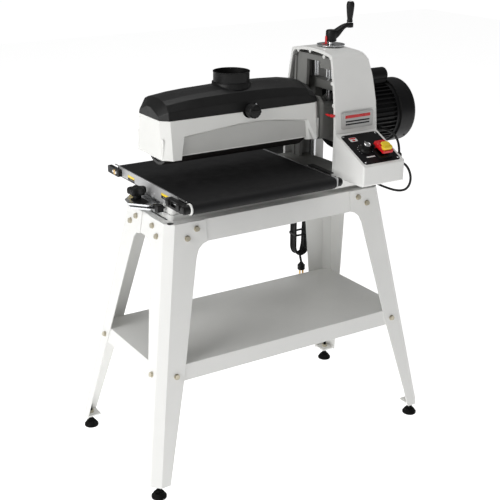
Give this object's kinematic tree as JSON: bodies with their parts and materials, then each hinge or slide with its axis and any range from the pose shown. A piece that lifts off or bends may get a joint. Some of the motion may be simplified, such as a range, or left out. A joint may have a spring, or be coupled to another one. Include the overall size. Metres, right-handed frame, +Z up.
{
  "type": "drum sander",
  "caption": "Open-ended drum sander with conveyor bed, crank-raised sanding head, dust port, direct-drive motor and a splayed steel stand with shelf.",
  "frame": {"origin": "on the floor, below the middle of the machine without its cords", "axes": "+Z up, +X along the drum towards the motor, -Y towards the operator, who feeds the board towards +Y"},
  "size_m": [1.018, 0.5395, 1.304],
  "materials": {
    "white_paint": "satin powder coat",
    "light_grey_paint": "satin paint",
    "dark_grey_casting": "painted cast",
    "zinc_steel": "zinc plated",
    "bright_steel": "ground",
    "bed_aluminium": "brushed",
    "black_plastic": "fine texture",
    "motor_black": "satin paint",
    "belt_cloth": "fine abrasive cloth",
    "abrasive_cloth": "abrasive cloth",
    "foot_rubber": "matte",
    "switch_red": "gloss",
    "key_yellow": "gloss",
    "panel_black": "satin",
    "badge_silver": "printed plate",
    "drum_aluminium": "turned",
    "cord_black": "matte",
    "gearbox_black": "satin"
  },
  "bodies": {
    "machine": {"leg_front_left": "white_paint", "leg_front_right": "white_paint", "leg_rear_left": "white_paint", "leg_rear_right": "white_paint", "stand_aprons": "white_paint", "stand_shelf": "white_paint", "stand_bolts": "zinc_steel", "stand_nuts": "zinc_steel", "base_casting": "white_paint", "conveyor_bed": "bed_aluminium", "conveyor_belt": "belt_cloth", "drive_roller_brackets": "black_plastic", "take_up_brackets": "black_plastic", "take_up_screws": "bright_steel", "conveyor_gearbox": "gearbox_black", "conveyor_motor": "gearbox_black", "alignment_bracket": "bright_steel", "column_casting": "dark_grey_casting", "column_cover": "white_paint", "control_box": "white_paint", "control_panel": "panel_black", "switch_body": "panel_black", "badge_plate": "badge_silver", "guide_posts": "bright_steel", "crank_dial": "bright_steel", "cable_glands": "black_plastic", "mains_cord": "cord_black", "mains_hank": "cord_black", "mains_plug": "black_plastic", "conveyor_cord": "cord_black", "motor_cord": "cord_black"},
    "head": {"carriage": "dark_grey_casting", "head_housing": "light_grey_paint", "cover_hinge_pins": "bright_steel", "drum_bearings": "bright_steel", "motor_body": "motor_black", "fan_cover": "motor_black", "capacitor_cover": "motor_black"},
    "drum": {"drum": "drum_aluminium", "abrasive_strip": "abrasive_cloth", "shaft_coupling": "bright_steel", "motor_rotor": "bright_steel", "motor_fan": "black_plastic"},
    "dust_cover": {"dust_cover": "black_plastic", "dust_port": "black_plastic"},
    "cover_knob": {"cover_knob": "black_plastic"},
    "crank": {"crank_arm": "black_plastic", "leadscrew": "bright_steel"},
    "crank_grip": {"crank_grip": "black_plastic"},
    "drive_roller": {"drive_roller": "bright_steel"},
    "idler_roller": {"idler_roller": "bright_steel"},
    "lock_knob": {"lock_knob": "black_plastic"},
    "alignment_knob": {"alignment_knob": "black_plastic"},
    "speed_knob": {"speed_knob": "black_plastic"},
    "switch_paddle": {"switch_paddle": "switch_red"},
    "safety_key": {"safety_key": "key_yellow"},
    "foot_front_left": {"foot_front_left": "foot_rubber"},
    "foot_front_right": {"foot_front_right": "foot_rubber"},
    "foot_rear_left": {"foot_rear_left": "foot_rubber"},
    "foot_rear_right": {"foot_rear_right": "foot_rubber"}
  },
  "joints": [
    {"name": "head_lift", "type": "slide", "parent": "machine", "child": "head", "axis": [0, 0, 1], "range_m": [-0.0487, 0.0262], "deforming": ["motor_cord"]},
    {"name": "drum_spin", "type": "hinge", "parent": "head", "child": "drum", "pos_m": [-0.01932, 0.003, 0.963], "axis": [1, 0, 0], "continuous": true},
    {"name": "dust_cover_hinge", "type": "hinge", "parent": "head", "child": "dust_cover", "pos_m": [-0.01932, 0.0895, 1.04], "axis": [-1, 0, 0], "range_deg": [0, 95]},
    {"name": "cover_knob_turn", "type": "hinge", "parent": "dust_cover", "child": "cover_knob", "pos_m": [-0.09632, -0.087, 1.04], "axis": [0, -1, 0], "range_deg": [0, 90]},
    {"name": "crank_turn", "type": "hinge", "parent": "machine", "child": "crank", "pos_m": [0.23818, 0.003, 1.19], "axis": [0, 0, 1], "range_deg": [-11063.8, 5961.4]},
    {"name": "crank_grip_spin", "type": "hinge", "parent": "crank", "child": "crank_grip", "pos_m": [0.30518, 0.003, 1.27], "axis": [0, 0, 1], "continuous": true},
    {"name": "drive_roller_spin", "type": "hinge", "parent": "machine", "child": "drive_roller", "pos_m": [-0.01932, 0.2142, 0.8314], "axis": [1, 0, 0], "continuous": true},
    {"name": "idler_roller_spin", "type": "hinge", "parent": "machine", "child": "idler_roller", "pos_m": [-0.01932, -0.2082, 0.8314], "axis": [1, 0, 0], "continuous": true},
    {"name": "lock_knob_turn", "type": "hinge", "parent": "machine", "child": "lock_knob", "pos_m": [-0.39932, 0.028, 0.82], "axis": [0, 0, 1], "range_deg": [0, 360]},
    {"name": "alignment_knob_turn", "type": "hinge", "parent": "machine", "child": "alignment_knob", "pos_m": [-0.37432, -0.061, 0.795], "axis": [-1, 0, 0], "range_deg": [-360, 360]},
    {"name": "speed_knob_turn", "type": "hinge", "parent": "machine", "child": "speed_knob", "pos_m": [0.22068, -0.20266, 0.91332], "axis": [0, -0.4299, 0.9029], "range_deg": [-270, 0]},
    {"name": "switch_paddle_hinge", "type": "hinge", "parent": "machine", "child": "switch_paddle", "pos_m": [0.26568, -0.207, 0.92011], "axis": [-1, 0, 0], "range_deg": [0, 18]},
    {"name": "safety_key_pull", "type": "slide", "parent": "switch_paddle", "child": "safety_key", "axis": [0, -0.4299, 0.9029], "range_m": [0, 0.018]},
    {"name": "foot_front_left_screw", "type": "slide", "parent": "machine", "child": "foot_front_left", "axis": [0, 0, -1], "range_m": [0, 0.018]},
    {"name": "foot_front_right_screw", "type": "slide", "parent": "machine", "child": "foot_front_right", "axis": [0, 0, -1], "range_m": [0, 0.018]},
    {"name": "foot_rear_left_screw", "type": "slide", "parent": "machine", "child": "foot_rear_left", "axis": [0, 0, -1], "range_m": [0, 0.018]},
    {"name": "foot_rear_right_screw", "type": "slide", "parent": "machine", "child": "foot_rear_right", "axis": [0, 0, -1], "range_m": [0, 0.018]}
  ],
  "couplings": [
    {"joint": "crank_turn", "follows": "head_lift", "rad_per_m": 3957.9},
    {"joint": "idler_roller_spin", "follows": "drive_roller_spin", "ratio": 1}
  ]
}
